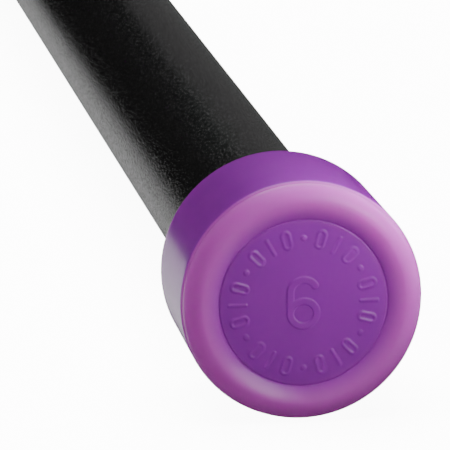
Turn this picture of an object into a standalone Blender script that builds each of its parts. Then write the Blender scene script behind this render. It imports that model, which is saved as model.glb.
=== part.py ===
"""A foam-covered weighted exercise bar with a soft moulded cap on each end.

The bar lies along X, its middle over the origin, and rests on its two caps at Z = 0.
A solid steel rod gives the weight, a foam sleeve covers it from end to end, and the
caps are pushed over the sleeve's ends. All lengths are in metres.
"""

import math

import bmesh
import bpy
from mathutils import Matrix, Vector

# Driving dimensions
BAR_LENGTH = 1.2192  # over both caps, 48 in
CORE_RADIUS = 0.009525  # steel rod, 3/4 in across
FOAM_RADIUS = 0.015875  # foam sleeve, 1 1/4 in across
CAP_RADIUS = 0.0235  # a cap's widest place, just behind the bead
CAP_LENGTH = 0.0310  # from the bead's crest to the cap's back edge
END_WALL = 0.0080  # solid vinyl between the recessed face and the rod's end
GAP = 0.0003  # between pieces that touch on the real bar

# The cap's turned shape
BEAD_REACH = 0.0022  # from the crest back to the bead's widest circle
BEAD_RADIUS = 0.0232
LAND_INNER = 0.0194  # the flat ring on the crest, on which the bar stands upright
LAND_OUTER = 0.0204
RECESS_RADIUS = 0.0166
RECESS_DEPTH = 0.0009
GROOVE_REACH = 0.0027  # the bottom of the fine groove behind the bead
GROOVE_RADIUS = 0.0229
SHOULDER_REACH = 0.0034  # where the skirt begins, at the cap's widest circle
SKIRT_RADIUS = 0.0232  # at the back edge
BACK_ROUND = 0.0012
MOUTH_CHAMFER = 0.0005

# The raised marks on the recessed face
MARK_HEIGHT = 0.00015
MARK_ROOT = 0.0004  # how far a mark reaches down into the face, so that it joins the cap
RING_RADIUS = 0.0128  # middle of the ring of dots, bars and outlined pills
RING_GROUPS = 6
MARK_REACH = 0.0019  # half the height of a bar or a pill
PILL_RADIUS = 0.00095
STROKE = 0.0005
DOT_RADIUS = 0.0005
NUMERAL_HEIGHT = 0.0104
NUMERAL_WIDTH = 0.0064
NUMERAL_STROKE = 0.0013
BOWL_REACH = 0.0031  # half the height of the numeral's closed loop

CORE_CHAMFER = 0.0008
SIDES = 48  # flats round every turned piece, one of them facing straight down
ROUND_STEPS = 5
SMALL_STEPS = 3
MERGE_DISTANCE = 0.00001
SMOOTH_ANGLE = math.radians(35)


def clear_scene():
    for old in list(bpy.data.objects):
        bpy.data.objects.remove(old)


def finish_of(name, colour, roughness, metallic=0.0):
    """A Principled material for one piece."""
    material = bpy.data.materials.new(name)
    material.use_nodes = True
    shader = material.node_tree.nodes["Principled BSDF"]
    shader.inputs["Base Color"].default_value = (*colour, 1.0)
    shader.inputs["Roughness"].default_value = roughness
    shader.inputs["Metallic"].default_value = metallic
    return material


def arc(centre, reach, start, end, steps):
    """Points of an elliptical arc as (x, radius); 0 degrees points outward from the axis."""
    points = []
    for step in range(steps + 1):
        angle = math.radians(start + (end - start) * step / steps)
        x = centre[0] + reach[0] * math.sin(angle)
        points.append((x, centre[1] + reach[1] * math.cos(angle)))
    return points


def swell(start, end, steps):
    """A rise from start to end as (x, radius), steepest at start and level at end."""
    points = []
    for step in range(steps + 1):
        share = step / steps
        x = start[0] + (end[0] - start[0]) * (1 - (1 - share) ** 2)
        points.append((x, start[1] + (end[1] - start[1]) * share))
    return points


def turned(name, profile, ring=False):
    """A closed mesh turned about X from (x, radius) points, its flats at those radii.

    A ring's profile closes on itself; any other profile gets a flat face at each end.
    """
    bm = bmesh.new()
    half_flat = math.pi / SIDES
    roll = Matrix.Rotation(half_flat, 3, "X")
    to_corner = 1 / math.cos(half_flat)
    verts = [bm.verts.new(roll @ Vector((x, 0, r * to_corner))) for x, r in profile]
    edges = [bm.edges.new(pair) for pair in zip(verts, verts[1:])]
    if ring:
        edges.append(bm.edges.new((verts[-1], verts[0])))
    bmesh.ops.spin(
        bm, geom=verts + edges, cent=(0, 0, 0), axis=(1, 0, 0),
        angle=2 * math.pi, steps=SIDES, use_merge=True,
    )
    bmesh.ops.remove_doubles(bm, verts=bm.verts, dist=MERGE_DISTANCE)
    bmesh.ops.holes_fill(bm, edges=bm.edges, sides=SIDES)
    bmesh.ops.recalc_face_normals(bm, faces=bm.faces)
    mesh = bpy.data.meshes.new(name)
    bm.to_mesh(mesh)
    bm.free()
    return mesh


def soften(mesh):
    """Smooth shading on the round faces, with crisp edges where they turn sharply."""
    mesh.shade_smooth()
    mesh.set_sharp_from_angle(angle=SMOOTH_ANGLE)


def place(name, mesh, parent, x=0.0, turn=0.0):
    """An object on the bar's axis, at x, turned about the vertical."""
    piece = bpy.data.objects.new(name, mesh)
    bpy.context.scene.collection.objects.link(piece)
    piece.parent = parent
    piece.location.x = x
    piece.rotation_euler.z = turn
    return piece


def cap_profile():
    """The cap from its recessed face out over the bead and back into the bore.

    x is 0 at the bead's crest and runs backwards as it falls.
    """
    outer_reach = (BEAD_REACH, BEAD_RADIUS - LAND_OUTER)
    back_round = (BACK_ROUND, BACK_ROUND)
    back = -CAP_LENGTH
    bore = FOAM_RADIUS + GAP
    points = swell((-RECESS_DEPTH, RECESS_RADIUS), (0, LAND_INNER), ROUND_STEPS)
    points += arc((-BEAD_REACH, LAND_OUTER), outer_reach, 90, 0, ROUND_STEPS)
    points += [(-GROOVE_REACH, GROOVE_RADIUS), (-SHOULDER_REACH, CAP_RADIUS)]
    points += arc(
        (back + BACK_ROUND, SKIRT_RADIUS - BACK_ROUND), back_round, 0, -90, SMALL_STEPS
    )
    points.append((back, bore + MOUTH_CHAMFER))
    points.append((back + MOUTH_CHAMFER, bore))
    points.append((-RECESS_DEPTH - END_WALL, bore))
    return points


def oval(centre, reach, start, end, steps):
    """Points of an oval arc in the plane of the cap's face, anticlockwise from start."""
    points = []
    for step in range(steps + 1):
        angle = math.radians(start + (end - start) * step / steps)
        across = centre[0] + reach[0] * math.cos(angle)
        points.append((across, centre[1] + reach[1] * math.sin(angle)))
    return points


def numeral_outlines():
    """A plain narrow numeral six: its outer line, and the hole in its loop."""
    outer = (NUMERAL_WIDTH / 2, BOWL_REACH)
    inner = (outer[0] - NUMERAL_STROKE, outer[1] - NUMERAL_STROKE)
    top = (0, NUMERAL_HEIGHT / 2 - BOWL_REACH)
    bowl = (0, BOWL_REACH - NUMERAL_HEIGHT / 2)
    meets_stem = math.degrees(math.acos(-inner[0] / outer[0]))
    line = oval(top, outer, 25, 180, 2 * ROUND_STEPS)
    line += oval(bowl, outer, 180, 360 + meets_stem, 4 * ROUND_STEPS)
    line += oval(top, inner, 180, 25, 2 * ROUND_STEPS)
    hole = oval(bowl, inner, 0, 360, 3 * ROUND_STEPS)[:-1]
    return [line, hole]


def turned_outline(points, angle):
    """Face-plane points moved out to the ring and swung round it."""
    swing = Matrix.Rotation(-angle, 2)
    return [tuple(swing @ Vector((across, up + RING_RADIUS))) for across, up in points]


def round_ended(radius, reach):
    """An upright line of the given half width with round ends, reach up and down."""
    straight = reach - radius
    line = oval((0, straight), (radius, radius), 0, 180, SMALL_STEPS)
    return line + oval((0, -straight), (radius, radius), 180, 360, SMALL_STEPS)


def ring_outlines():
    """Groups of a dot, an outlined pill, a bar and another pill, all round the face."""
    dot = [oval((0, 0), (DOT_RADIUS, DOT_RADIUS), 0, 360, 2 * SMALL_STEPS)[:-1]]
    bar = [round_ended(STROKE / 2, MARK_REACH)]
    hole = round_ended(PILL_RADIUS - STROKE, MARK_REACH - STROKE)
    pill = [round_ended(PILL_RADIUS, MARK_REACH), hole]
    group = (dot, pill, bar, pill)
    step = 2 * math.pi / (RING_GROUPS * len(group))
    outlines = []
    for place_on_ring, mark in enumerate(group * RING_GROUPS):
        outlines += [turned_outline(line, place_on_ring * step) for line in mark]
    return outlines


def marks_mesh():
    """All raised marks as one extruded shape, standing on the cap's recessed face."""
    curve = bpy.data.curves.new("marks", "CURVE")
    curve.dimensions = "2D"
    curve.fill_mode = "BOTH"
    curve.extrude = (MARK_HEIGHT + MARK_ROOT) / 2
    for outline in numeral_outlines() + ring_outlines():
        spline = curve.splines.new("POLY")
        spline.points.add(len(outline) - 1)
        spline.use_cyclic_u = True
        for point, (across, up) in zip(spline.points, outline):
            point.co = (across, up, 0, 1)
    drawing = bpy.data.objects.new("marks_drawing", curve)
    mesh = bpy.data.meshes.new_from_object(drawing)
    bpy.data.objects.remove(drawing)
    bm = bmesh.new()
    bm.from_mesh(mesh)
    bmesh.ops.remove_doubles(bm, verts=bm.verts, dist=MERGE_DISTANCE)
    bmesh.ops.recalc_face_normals(bm, faces=bm.faces)
    across_to_y = Matrix(((0, 0, 1, 0), (1, 0, 0, 0), (0, 1, 0, 0), (0, 0, 0, 1)))
    middle = -RECESS_DEPTH + (MARK_HEIGHT - MARK_ROOT) / 2
    bmesh.ops.transform(
        bm, matrix=Matrix.Translation((middle, 0, 0)) @ across_to_y, verts=bm.verts
    )
    bm.to_mesh(mesh)
    bm.free()
    return mesh


def add_core(parent):
    """The solid steel rod that gives the bar its weight."""
    half = BAR_LENGTH / 2 - RECESS_DEPTH - END_WALL - GAP
    inner = CORE_RADIUS - CORE_CHAMFER
    profile = [
        (half, inner),
        (half - CORE_CHAMFER, CORE_RADIUS),
        (CORE_CHAMFER - half, CORE_RADIUS),
        (-half, inner),
    ]
    mesh = turned("steel_core", profile)
    soften(mesh)
    mesh.materials.append(finish_of("steel", (0.42, 0.42, 0.43), 0.38, 1.0))
    return place("steel_core", mesh, parent)


def add_foam(parent):
    """The foam sleeve, as long as the rod."""
    half = BAR_LENGTH / 2 - RECESS_DEPTH - END_WALL - GAP
    bore = CORE_RADIUS + GAP
    profile = [(half, FOAM_RADIUS), (-half, FOAM_RADIUS), (-half, bore), (half, bore)]
    mesh = turned("foam_sleeve", profile, ring=True)
    soften(mesh)
    mesh.materials.append(finish_of("black_foam", (0.012, 0.012, 0.013), 0.62))
    return place("foam_sleeve", mesh, parent)


def add_cap(name, vinyl, end, parent):
    """One end cap, with its marks joined on. end is 1 on +X and -1 on -X."""
    mesh = turned(name, cap_profile())
    mesh.materials.append(vinyl)
    turn = 0.0 if end > 0 else math.pi
    cap = place(name, mesh, parent, end * BAR_LENGTH / 2, turn)
    marks = place(name + "_marks", marks_mesh(), cap)
    marks.hide_render = True
    marks.display_type = "WIRE"
    join = cap.modifiers.new("raised_marks", "BOOLEAN")
    join.operation = "UNION"
    join.solver = "EXACT"
    join.object = marks
    soften(mesh)
    return cap


def main():
    clear_scene()
    axis = bpy.data.objects.new("bar_axis", None)
    bpy.context.scene.collection.objects.link(axis)
    axis.location.z = CAP_RADIUS
    add_core(axis)
    add_foam(axis)
    vinyl = finish_of("purple_vinyl", (0.24, 0.06, 0.31), 0.30)
    add_cap("right_end_cap", vinyl, 1, axis)
    add_cap("left_end_cap", vinyl, -1, axis)


main()
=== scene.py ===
"""The finished look of a weighted exercise bar: black foam with a soft purple cap on each end.

The bar lies along X on a pale floor, its near cap on +X. Everything is in metres, in the
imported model's own frame. The caps and the foam are modelled afresh here as smooth meshes in
the places of their plain CAD solids; the steel rod inside keeps its CAD shape.
"""
import math

import bpy
import numpy as np
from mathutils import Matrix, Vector


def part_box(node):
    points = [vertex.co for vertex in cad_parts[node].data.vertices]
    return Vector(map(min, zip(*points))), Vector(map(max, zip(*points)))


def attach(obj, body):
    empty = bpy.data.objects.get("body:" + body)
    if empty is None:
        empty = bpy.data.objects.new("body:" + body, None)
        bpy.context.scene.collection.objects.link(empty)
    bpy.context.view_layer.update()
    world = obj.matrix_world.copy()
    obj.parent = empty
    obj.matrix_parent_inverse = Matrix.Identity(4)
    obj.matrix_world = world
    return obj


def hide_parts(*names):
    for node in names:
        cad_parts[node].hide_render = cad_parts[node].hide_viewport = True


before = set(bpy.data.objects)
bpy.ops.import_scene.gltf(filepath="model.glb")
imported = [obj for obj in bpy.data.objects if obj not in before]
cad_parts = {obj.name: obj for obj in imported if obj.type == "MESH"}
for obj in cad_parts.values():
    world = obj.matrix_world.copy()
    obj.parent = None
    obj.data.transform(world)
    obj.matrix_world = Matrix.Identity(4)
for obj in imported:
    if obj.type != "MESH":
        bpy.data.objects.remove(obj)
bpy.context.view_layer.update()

# Sizes that the frame gives
CAP_LOW, CAP_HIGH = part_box("right_end_cap")
FOAM_LOW, FOAM_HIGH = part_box("foam_sleeve")
CORE_LOW, CORE_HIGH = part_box("steel_core")
CAP_RADIUS = (CAP_HIGH.z - CAP_LOW.z) / 2
AXIS_HEIGHT = (CAP_HIGH.z + CAP_LOW.z) / 2
CAP_LENGTH = CAP_HIGH.x - CAP_LOW.x
BAR_END = CAP_HIGH.x
FOAM_RADIUS = (FOAM_HIGH.z - FOAM_LOW.z) / 2
FOAM_END = FOAM_HIGH.x
CORE_RADIUS = (CORE_HIGH.z - CORE_LOW.z) / 2

# The cap's turned shape, as in the CAD source but for the inner slope and the crease.
# A reach is a distance back from the bead's crest.
GAP = 0.0003
CREST_RADIUS = 0.0199
BEAD_REACH = 0.0022
BEAD_RADIUS = 0.0232
RECESS_RADIUS = 0.0166
RECESS_DEPTH = 0.0009
SLOPE_POWER = 1.4  # how sharply the slope from the recess up to the crest levels out
CREASE_DEPTH = 0.00018  # a fine groove round the recess, at the bead's foot
CREASE_WIDTH = 0.0004
GROOVE_REACH = 0.0027  # a second groove, behind the bead
GROOVE_RADIUS = 0.0229
SHOULDER_REACH = 0.0034  # the cap's widest circle, where the skirt begins
SKIRT_RADIUS = 0.0232  # at the back edge
BACK_ROUND = 0.0012
MOUTH_ROUND = 0.0006
BORE_RADIUS = FOAM_RADIUS + GAP
BORE_BOTTOM = FOAM_END + GAP - BAR_END

FOAM_ROUND = 0.0006  # the rounding at the ends of the foam

# The raised marks on the recessed face
MARK_HEIGHT = 0.00015
MARK_EDGE = 0.00025  # how wide the slope at a mark's edge is
RING_RADIUS = 0.0128
RING_PLACES = 24
MARK_REACH = 0.0019  # half the height of a bar or a pill
PILL_RADIUS = 0.00095
STROKE = 0.0005
DOT_RADIUS = 0.0005
NUMERAL_HEIGHT = 0.0104
NUMERAL_WIDTH = 0.0064
NUMERAL_STROKE = 0.0013
BOWL_REACH = 0.0031  # half the height of the numeral's closed loop

# How finely the meshes are divided
FACE_STEP = 0.00015  # between rings of vertices across the face
CAP_SEGMENTS = 384
FOAM_SEGMENTS = 192
FOAM_STATION = 0.006  # between rings of vertices along the foam
FINE_STEPS = 20
ARC_STEPS = 8
SMALL_STEPS = 5
TINY = 1e-7  # metres, less than which two points are one


# ---------------------------------------------------------------- meshes

def arc(centre, reach, start, end, steps):
    """Points of an elliptical arc as (x, radius); 0 degrees points outward from the axis."""
    turns = np.radians(np.linspace(start, end, steps + 1))
    return np.column_stack(
        (centre[0] + reach[0] * np.sin(turns), centre[1] + reach[1] * np.cos(turns))
    )


def straight(start, end, steps):
    return np.column_stack(
        (np.linspace(start[0], end[0], steps + 1), np.linspace(start[1], end[1], steps + 1))
    )


def swell(start, end, steps):
    """A rise that is steepest at start and levels out at end."""
    share = np.linspace(0, 1, steps + 1)
    rise = 1 - (1 - share) ** SLOPE_POWER
    return np.column_stack(
        (start[0] + (end[0] - start[0]) * rise, start[1] + (end[1] - start[1]) * share)
    )


def without_repeats(profile):
    keep = np.ones(len(profile), bool)
    keep[1:] = np.linalg.norm(np.diff(profile, axis=0), axis=1) > TINY
    return profile[keep]


def turned(name, profile, segments, lift=None):
    """A mesh turned about the bar's axis. A profile end at radius 0 closes in a point.

    lift takes the y and z of points measured from the axis and gives how far each moves in x.
    """
    angles = np.linspace(0, 2 * math.pi, segments, endpoint=False)
    verts, faces, rings = [], [], []
    count = 0
    for x, radius in profile:
        if radius < TINY:
            ring = np.array([[x, 0.0, 0.0]])
        else:
            ring = np.column_stack(
                (np.full(segments, x), radius * np.sin(angles), radius * np.cos(angles))
            )
        rings.append((count, len(ring)))
        verts.append(ring)
        count += len(ring)
    for (a, size_a), (b, size_b) in zip(rings, rings[1:]):
        for i in range(segments):
            j = (i + 1) % segments
            if size_a == 1:
                faces.append((a, b + j, b + i))
            elif size_b == 1:
                faces.append((a + i, a + j, b))
            else:
                faces.append((a + i, a + j, b + j, b + i))
    points = np.concatenate(verts)
    if lift is not None:
        points[:, 0] += lift(points)
    mesh = bpy.data.meshes.new(name)
    mesh.from_pydata(points.tolist(), [], faces)
    mesh.validate()
    mesh.shade_smooth()
    return mesh


def add_object(name, mesh, x=0.0, turn=0.0):
    piece = bpy.data.objects.new(name, mesh)
    bpy.context.scene.collection.objects.link(piece)
    piece.location = (x, 0, AXIS_HEIGHT)
    piece.rotation_euler.z = turn
    return piece


# ---------------------------------------------------------------- cap

def cap_profile():
    """The cap from the middle of its face over the bead to the bottom of its bore."""
    back = -CAP_LENGTH
    crest = (0.0, CREST_RADIUS)
    crease = (-RECESS_DEPTH, RECESS_RADIUS - CREASE_WIDTH / 2)
    groove = (CREASE_DEPTH, CREASE_WIDTH / 2)
    foot = (-RECESS_DEPTH, RECESS_RADIUS)
    bead_out = (BEAD_REACH, BEAD_RADIUS - CREST_RADIUS)
    bead_back = (GROOVE_REACH - BEAD_REACH, BEAD_RADIUS - GROOVE_RADIUS)
    shoulder = (SHOULDER_REACH - GROOVE_REACH, CAP_RADIUS - GROOVE_RADIUS)
    face_radius = RECESS_RADIUS - CREASE_WIDTH
    face_rings = round(face_radius / FACE_STEP)
    back_round = (BACK_ROUND, BACK_ROUND)
    mouth = (MOUTH_ROUND, MOUTH_ROUND)
    inner = BORE_RADIUS + MOUTH_ROUND
    profile = np.concatenate((
        straight((-RECESS_DEPTH, 0), (-RECESS_DEPTH, face_radius), face_rings),
        arc(crease, groove, 180, 360, ARC_STEPS),
        swell(foot, crest, FINE_STEPS),
        arc((-BEAD_REACH, CREST_RADIUS), bead_out, 90, 0, FINE_STEPS),
        arc((-BEAD_REACH, GROOVE_RADIUS), bead_back, 0, -90, ARC_STEPS),
        arc((-SHOULDER_REACH, GROOVE_RADIUS), shoulder, 90, 0, ARC_STEPS),
        straight((-SHOULDER_REACH, CAP_RADIUS), (back + BACK_ROUND, SKIRT_RADIUS), 16),
        arc((back + BACK_ROUND, SKIRT_RADIUS - BACK_ROUND), back_round, 0, -90, ARC_STEPS),
        straight((back, SKIRT_RADIUS - BACK_ROUND), (back, inner), 4),
        arc((back + MOUTH_ROUND, inner), mouth, -90, -180, SMALL_STEPS),
        straight((back + MOUTH_ROUND, BORE_RADIUS), (BORE_BOTTOM, BORE_RADIUS), 12),
        straight((BORE_BOTTOM, BORE_RADIUS), (BORE_BOTTOM, 0), 10),
    ))
    return without_repeats(profile)


def oval(centre, reach, start, end, steps):
    turns = np.radians(np.linspace(start, end, steps + 1))
    return np.column_stack(
        (centre[0] + reach[0] * np.cos(turns), centre[1] + reach[1] * np.sin(turns))
    )


def away_from_line(points, line):
    """Distance of each point from a line of straight pieces."""
    nearest = np.full(len(points), 1.0)
    for a, b in zip(line, line[1:]):
        along = b - a
        share = np.clip(((points - a) @ along) / (along @ along), 0, 1)
        gap = np.linalg.norm(points - a - share[:, None] * along, axis=1)
        nearest = np.minimum(nearest, gap)
    return nearest


def numeral_line():
    """The middle line of a plain narrow numeral six, from its tip round to its closed loop."""
    reach = (NUMERAL_WIDTH / 2 - NUMERAL_STROKE / 2, BOWL_REACH - NUMERAL_STROKE / 2)
    top = (0, NUMERAL_HEIGHT / 2 - BOWL_REACH)
    bowl = (0, BOWL_REACH - NUMERAL_HEIGHT / 2)
    hook = oval(top, reach, 30, 180, FINE_STEPS)
    loop = oval(bowl, reach, 180, 540, 2 * FINE_STEPS)
    return np.concatenate((hook, loop))


def inside_marks(points):
    """How far inside a mark each point of the face is, in metres; negative is outside."""
    depth = NUMERAL_STROKE / 2 - away_from_line(points, numeral_line())
    pill_spine = np.array(((0, PILL_RADIUS - MARK_REACH), (0, MARK_REACH - PILL_RADIUS)))
    bar_spine = np.array(((0, STROKE / 2 - MARK_REACH), (0, MARK_REACH - STROKE / 2)))
    for place in range(RING_PLACES):
        angle = 2 * math.pi * place / RING_PLACES
        across = points[:, 0] * math.cos(angle) - points[:, 1] * math.sin(angle)
        up = points[:, 0] * math.sin(angle) + points[:, 1] * math.cos(angle)
        local = np.column_stack((across, up - RING_RADIUS))
        if place % 4 == 0:
            mark = DOT_RADIUS - np.linalg.norm(local, axis=1)
        elif place % 2 == 0:
            mark = STROKE / 2 - away_from_line(local, bar_spine)
        else:
            outline = PILL_RADIUS - STROKE / 2
            mark = STROKE / 2 - abs(away_from_line(local, pill_spine) - outline)
        depth = np.maximum(depth, mark)
    return depth


def face_lift(points):
    """How far the raised marks stand out of the recessed face at each of the cap's points."""
    lift = np.zeros(len(points))
    flat = np.abs(points[:, 0] + RECESS_DEPTH) < TINY
    face = flat & (np.hypot(points[:, 1], points[:, 2]) < RECESS_RADIUS - CREASE_WIDTH)
    depth = inside_marks(points[face][:, 1:])
    share = np.clip(depth / MARK_EDGE + 0.5, 0, 1)
    lift[face] = MARK_HEIGHT * share * share * (3 - 2 * share)
    return lift


# ---------------------------------------------------------------- materials

DEEP_PURPLE = (0.22, 0.020, 0.31)
DEEP_VIOLET = (0.26, 0.030, 0.34)
# The bead's paler, pinker colour is a painted glow. It stands in for light passing through the
# translucent vinyl.
PAINTED_GLOW_PINK = (0.40, 0.08, 0.39)
PAINTED_GLOW_START = 0.0150  # where the painted glow begins to lighten the face towards the bead
FOAM_BLACK = (0.005, 0.005, 0.005)
FOAM_GREY = (0.014, 0.014, 0.014)
STEEL_DARK = (0.36, 0.36, 0.37)
STEEL_LIGHT = (0.52, 0.52, 0.53)


class Nodes:
    """A short way to build one material's node tree round its Principled shader."""

    def __init__(self, name):
        self.material = bpy.data.materials.new(name)
        self.material.use_nodes = True
        self.tree = self.material.node_tree
        self.shader = self.tree.nodes["Principled BSDF"]

    def add(self, kind, **values):
        node = self.tree.nodes.new(kind)
        for key, value in values.items():
            if key in node.inputs:
                node.inputs[key].default_value = value
            else:
                setattr(node, key, value)
        return node

    def link(self, source, target):
        self.tree.links.new(source, target)

    def set(self, **values):
        for key, value in values.items():
            self.shader.inputs[key.replace("_", " ")].default_value = value


def noise(n, scale, detail=3.0, stretch=(1, 1, 1)):
    where = n.add("ShaderNodeTexCoord")
    mapping = n.add("ShaderNodeMapping", Scale=stretch)
    texture = n.add("ShaderNodeTexNoise", Scale=scale, Detail=detail)
    n.link(where.outputs["Object"], mapping.inputs["Vector"])
    n.link(mapping.outputs["Vector"], texture.inputs["Vector"])
    return texture


def ramp(n, source, low, high, from_low=0.0, from_high=1.0):
    """source read from one range into another."""
    node = n.add("ShaderNodeMapRange")
    node.inputs["From Min"].default_value = from_low
    node.inputs["From Max"].default_value = from_high
    node.inputs["To Min"].default_value = low
    node.inputs["To Max"].default_value = high
    n.link(source, node.inputs["Value"])
    return node.outputs["Result"]


def smooth(n, source, low, high):
    """0 below low, 1 above high and a smooth step between."""
    node = n.add("ShaderNodeMapRange", interpolation_type="SMOOTHSTEP")
    node.inputs["From Min"].default_value = low
    node.inputs["From Max"].default_value = high
    n.link(source, node.inputs["Value"])
    return node.outputs["Result"]


def mix_colour(n, share, low, high):
    """low where share is 0 and high where it is 1; a low of None is linked afterwards."""
    node = n.add("ShaderNodeMix", data_type="RGBA")
    if low is not None:
        node.inputs[6].default_value = (*low, 1)
    node.inputs[7].default_value = (*high, 1)
    n.link(share, node.inputs[0])
    return node.outputs[2]


def bump(n, height, strength, distance, normal=None):
    node = n.add("ShaderNodeBump", Strength=strength, Distance=distance)
    n.link(height, node.inputs["Height"])
    if normal is not None:
        n.link(normal, node.inputs["Normal"])
    return node.outputs["Normal"]


def painted_glow_mask(n):
    """How much painted glow each point of a cap gets, from 0 to 1: more outward of the face's
    middle and forward of the skirt, over the solid bead clear of the dark foam and rod inside.

    The lighter colour is painted. It stands in for light glowing through the solid bead, which is
    less where the wall has the core behind it.
    """
    where = n.add("ShaderNodeTexCoord")
    parts = n.add("ShaderNodeSeparateXYZ")
    n.link(where.outputs["Object"], parts.inputs["Vector"])
    across = n.add("ShaderNodeVectorMath", operation="MULTIPLY")
    across.inputs[1].default_value = (0, 1, 1)
    n.link(where.outputs["Object"], across.inputs[0])
    radius = n.add("ShaderNodeVectorMath", operation="LENGTH")
    n.link(across.outputs["Vector"], radius.inputs[0])
    outward = smooth(n, radius.outputs["Value"], PAINTED_GLOW_START, CREST_RADIUS)
    forward = smooth(n, parts.outputs["X"], -SHOULDER_REACH, -GROOVE_REACH)
    both = n.add("ShaderNodeMath", operation="MULTIPLY")
    n.link(outward, both.inputs[0])
    n.link(forward, both.inputs[1])
    return both.outputs["Value"]


def vinyl_material():
    """Soft translucent purple vinyl with a satin moulded skin and a painted glow lightening the
    bead.
    """
    n = Nodes("purple_vinyl")
    cloud = noise(n, scale=55, detail=4)
    deep = mix_colour(n, cloud.outputs["Fac"], DEEP_PURPLE, DEEP_VIOLET)
    # the bead painted paler and pinker: a painted glow of light through the vinyl
    colour = mix_colour(n, painted_glow_mask(n), None, PAINTED_GLOW_PINK)
    n.link(deep, colour.node.inputs[6])
    n.link(colour, n.shader.inputs["Base Color"])
    skin = noise(n, scale=900)
    waves = noise(n, scale=90, detail=2)
    n.link(ramp(n, skin.outputs["Fac"], 0.17, 0.24), n.shader.inputs["Roughness"])
    normal = bump(n, skin.outputs["Fac"], strength=0.05, distance=0.0002)
    normal = bump(n, waves.outputs["Fac"], strength=0.12, distance=0.0004, normal=normal)
    n.link(normal, n.shader.inputs["Normal"])
    n.set(Subsurface_Weight=0.8, Subsurface_Scale=0.015, IOR=1.46)
    n.set(Subsurface_Radius=(1.0, 0.4, 0.9))
    return n.material


def foam_material():
    """Black closed-cell foam with a fine pebbled grain."""
    n = Nodes("black_foam")
    grain = noise(n, scale=1700)
    pores = n.add("ShaderNodeTexVoronoi", Scale=1500.0)
    where = n.add("ShaderNodeTexCoord")
    n.link(where.outputs["Object"], pores.inputs["Vector"])
    colour = mix_colour(n, grain.outputs["Fac"], FOAM_BLACK, FOAM_GREY)
    n.link(colour, n.shader.inputs["Base Color"])
    n.link(ramp(n, grain.outputs["Fac"], 0.16, 0.28), n.shader.inputs["Roughness"])
    n.set(Specular_IOR_Level=0.05)
    pits = smooth(n, pores.outputs["Distance"], 0.05, 0.45)
    normal = bump(n, pits, strength=1.0, distance=0.0001)
    normal = bump(n, grain.outputs["Fac"], strength=0.4, distance=0.0002, normal=normal)
    n.link(normal, n.shader.inputs["Normal"])
    return n.material


def steel_material():
    """Cold-drawn steel with fine lines along the rod."""
    n = Nodes("steel")
    n.set(Metallic=1.0)
    lines = noise(n, scale=900, detail=4, stretch=(0.02, 1, 1))
    colour = mix_colour(n, lines.outputs["Fac"], STEEL_DARK, STEEL_LIGHT)
    n.link(colour, n.shader.inputs["Base Color"])
    n.link(ramp(n, lines.outputs["Fac"], 0.3, 0.5), n.shader.inputs["Roughness"])
    normal = bump(n, lines.outputs["Fac"], strength=0.2, distance=0.0001)
    n.link(normal, n.shader.inputs["Normal"])
    return n.material


# ---------------------------------------------------------------- pieces

def add_caps(material):
    caps = []
    mesh = turned("cap", cap_profile(), CAP_SEGMENTS, face_lift)
    mesh.materials.append(material)
    for node, end in (("right_end_cap", 1), ("left_end_cap", -1)):
        turn = 0.0 if end > 0 else math.pi
        cap = add_object("soft_" + node, mesh, end * BAR_END, turn)
        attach(cap, "root")
        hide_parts(node)
        caps.append(cap)
    return caps


def add_foam(material):
    bore = CORE_RADIUS + GAP
    rim = (FOAM_ROUND, FOAM_ROUND)
    shoulder = FOAM_END - FOAM_ROUND
    edge = FOAM_RADIUS - FOAM_ROUND
    stations = round(2 * FOAM_END / FOAM_STATION)
    profile = np.concatenate((
        arc((shoulder, edge), rim, 90, 0, SMALL_STEPS),
        straight((shoulder, FOAM_RADIUS), (-shoulder, FOAM_RADIUS), stations),
        arc((-shoulder, edge), rim, 0, -90, SMALL_STEPS),
        straight((-FOAM_END, edge), (-FOAM_END, bore), 3),
        straight((-FOAM_END, bore), (FOAM_END, bore), 40),
        straight((FOAM_END, bore), (FOAM_END, edge), 3),
    ))
    mesh = turned("foam", without_repeats(profile), FOAM_SEGMENTS)
    mesh.materials.append(material)
    foam = add_object("foam_grip", mesh)
    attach(foam, "root")
    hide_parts("foam_sleeve")
    return foam


def finish_core(material):
    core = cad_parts["steel_core"]
    core.data.materials.clear()
    core.data.materials.append(material)


# ---------------------------------------------------------------- stage

# The camera looks down at the near cap, the bar running away to its upper left.
CAMERA_HEADING = math.radians(9.43)
CAMERA_TILT = math.radians(14.03)
CAMERA_DISTANCE = 0.889
CAMERA_LEFT = 0.01461  # how far the view's middle lies left of the rim's middle, and above it
CAMERA_UP = 0.01430
CAMERA_LENS = 371.0

SKY = 12.0
PLANE_SIZE = 60
FLOOR_HEIGHT = -0.00005  # a hair under the caps
FLOOR_GREY = 0.85
FLOOR_GLOW = 10.5  # the floor that the camera sees, alike out to the horizon
BOUNCE_HEIGHT = -0.0002
BOUNCE_GREY = 0.5
BOUNCE_GLOW = 0.1
SHINE_GLOW = 0.8  # the floor as the gloss shows it, a square to the left of the far part
SHINE_HEIGHT = -0.3
SHINE_END = BAR_END - 0.5
SHINE_LENGTH = 2.5
SHEEN_HEIGHT = 1.5  # a long box over the bar, seen only in the foam's gloss
SHEEN_WIDTH = 0.5
SHEEN_POWER = 60

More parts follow.
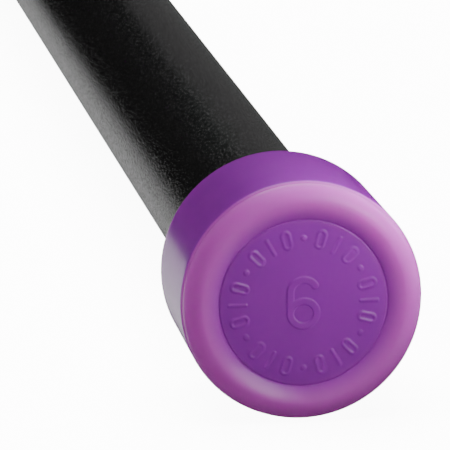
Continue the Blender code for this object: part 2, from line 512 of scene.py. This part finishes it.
# Soft lamps: name, azimuth, elevation, distance, width, height, power
SOFTBOXES = (  # round each cap
    ("near_fill", 112, 46, 0.080, 0.05, 0.05, 0.165),
    ("front_fill", 178, 2, 1.5, 1.0, 1.0, 9.5),
    ("overhead_fill", 0, 70, 1.2, 0.9, 0.7, 3),
    ("left_fill", -75, 35, 1.5, 1.0, 1.0, 17),
    ("right_sheen", 85, 32, 1.2, 0.9, 0.7, 2),
    ("glint_window", 75, 42, 1.0, 0.6, 0.06, 0.2),
    ("low_window", 155, 11, 1.0, 0.34, 0.30, 1.5),
    ("rim_window", 12, 48, 1.5, 1.2, 0.7, 9),
)
FLOOR_WASH = ("floor_wash", 0, 80, 3.0, 3.0, 3.0, 350)  # on the floor only; casts the shadow
BACKDROP = ("backdrop", 12, 1, 3.0, 0.8, 1.5, 0.9)  # far behind the bar, in the foam's gloss


def add_camera():
    level = Vector((-math.cos(CAMERA_HEADING), math.sin(CAMERA_HEADING), 0))
    forward = level * math.cos(CAMERA_TILT) - Vector((0, 0, math.sin(CAMERA_TILT)))
    right = forward.cross(Vector((0, 0, 1))).normalized()
    above = right.cross(forward)
    rim = Vector((BAR_END - SHOULDER_REACH, 0, AXIS_HEIGHT))
    target = rim - right * CAMERA_LEFT + above * CAMERA_UP
    data = bpy.data.cameras.new("camera")
    data.lens = CAMERA_LENS
    data.clip_start = 0.05
    data.clip_end = 100
    camera = bpy.data.objects.new("camera", data)
    bpy.context.scene.collection.objects.link(camera)
    camera.location = target - forward * CAMERA_DISTANCE
    camera.rotation_mode = "QUATERNION"
    camera.rotation_quaternion = forward.to_track_quat("-Z", "Y")
    bpy.context.scene.camera = camera


def add_softbox(name, azimuth, elevation, distance, width, height, power, end=1):
    """A rectangular light facing the cap at one end of the bar, unseen by the camera.

    Azimuth 0 lies beyond the bar's other end and 90 to the right of the camera's view.
    """
    data = bpy.data.lights.new(name, "AREA")
    data.shape = "RECTANGLE"
    data.size = width
    data.size_y = height
    data.energy = power
    lamp = bpy.data.objects.new(name, data)
    bpy.context.scene.collection.objects.link(lamp)
    turn, rise = math.radians(azimuth), math.radians(elevation)
    level = Vector((-end * math.cos(turn), math.sin(turn), 0))
    way = level * math.cos(rise) + Vector((0, 0, math.sin(rise)))
    lamp.location = Vector((end * BAR_END, 0, AXIS_HEIGHT)) + way * distance
    lamp.rotation_mode = "QUATERNION"
    lamp.rotation_quaternion = (-way).to_track_quat("-Z", "Y")
    hide_from(lamp, "camera")
    return lamp


def add_plane(name, height, grey):
    bpy.ops.mesh.primitive_plane_add(size=PLANE_SIZE, location=(0, 0, height))
    plane = bpy.context.object
    plane.name = name
    n = Nodes(name)
    n.set(Base_Color=(grey, grey, grey, 1), Roughness=0.9)
    plane.data.materials.append(n.material)
    return plane


def set_glow(plane, strength):
    shader = plane.data.materials[0].node_tree.nodes["Principled BSDF"]
    shader.inputs["Emission Color"].default_value = (1, 1, 1, 1)
    shader.inputs["Emission Strength"].default_value = strength


def hide_from(piece, *rays):
    """Keep a piece out of some of the renderer's kinds of ray."""
    for ray in rays:
        setattr(piece, "visible_" + ray, False)


def add_floor():
    """The pale floor, as one plane for each way in which it shows.

    The camera sees the first, the bar's underside is lit by the second, and its gloss shows
    the third. So the floor can be nearly white without glaring in the gloss.
    """
    seen = add_plane("floor", FLOOR_HEIGHT, FLOOR_GREY)
    set_glow(seen, FLOOR_GLOW)
    hide_from(seen, "diffuse", "glossy", "transmission", "shadow")
    under = add_plane("floor_bounce", BOUNCE_HEIGHT, BOUNCE_GREY)
    set_glow(under, BOUNCE_GLOW)
    hide_from(under, "camera", "glossy", "shadow")
    shine = add_plane("floor_shine", SHINE_HEIGHT, FLOOR_GREY)
    shine.scale = (SHINE_LENGTH / PLANE_SIZE, SHINE_LENGTH / PLANE_SIZE, 1)
    shine.location.x = SHINE_END - SHINE_LENGTH / 2
    shine.location.y = -SHINE_LENGTH / 2
    set_glow(shine, SHINE_GLOW)
    hide_from(shine, "camera", "diffuse", "transmission", "shadow")
    light_only(add_softbox(*FLOOR_WASH), [seen])


def light_only(lamp, pieces):
    """Keep a lamp's light to the given pieces."""
    lit = bpy.data.collections.new("lit_by_" + lamp.name)
    for piece in pieces:
        lit.objects.link(piece)
    lamp.light_linking.receiver_collection = lit


def add_lamps(caps, foam):
    """The same soft lamps round each cap, those at the far end lighting only that cap.

    A "fill" is kept out of the gloss, a "window" shows only in it, and a "near" lamp
    lights only the cap and the foam.
    """
    for end, cap in zip((1, -1), caps):
        for name, *place in SOFTBOXES:
            lamp = add_softbox(name, *place, end)
            lamp.visible_glossy = "fill" not in name
            lamp.visible_diffuse = "window" not in name
            if end < 0:
                light_only(lamp, [cap])
            elif "near" in name:
                light_only(lamp, [cap, foam])
    light_only(add_softbox(*BACKDROP), [foam])
    sheen = add_softbox("foam_sheen", 0, 90, SHEEN_HEIGHT, 2 * FOAM_END, SHEEN_WIDTH, SHEEN_POWER)
    sheen.location.x = 0
    hide_from(sheen, "diffuse")
    light_only(sheen, [foam])


def add_sky():
    world = bpy.data.worlds.new("studio")
    bpy.context.scene.world = world
    world.use_nodes = True
    sky = world.node_tree.nodes["Background"]
    sky.inputs["Color"].default_value = (1, 1, 1, 1)
    sky.inputs["Strength"].default_value = SKY
    world.cycles_visibility.diffuse = False
    world.cycles_visibility.glossy = False
    world.cycles_visibility.transmission = False


def main():
    add_camera()
    caps = add_caps(vinyl_material())
    foam = add_foam(foam_material())
    finish_core(steel_material())
    add_sky()
    add_floor()
    add_lamps(caps, foam)


main()
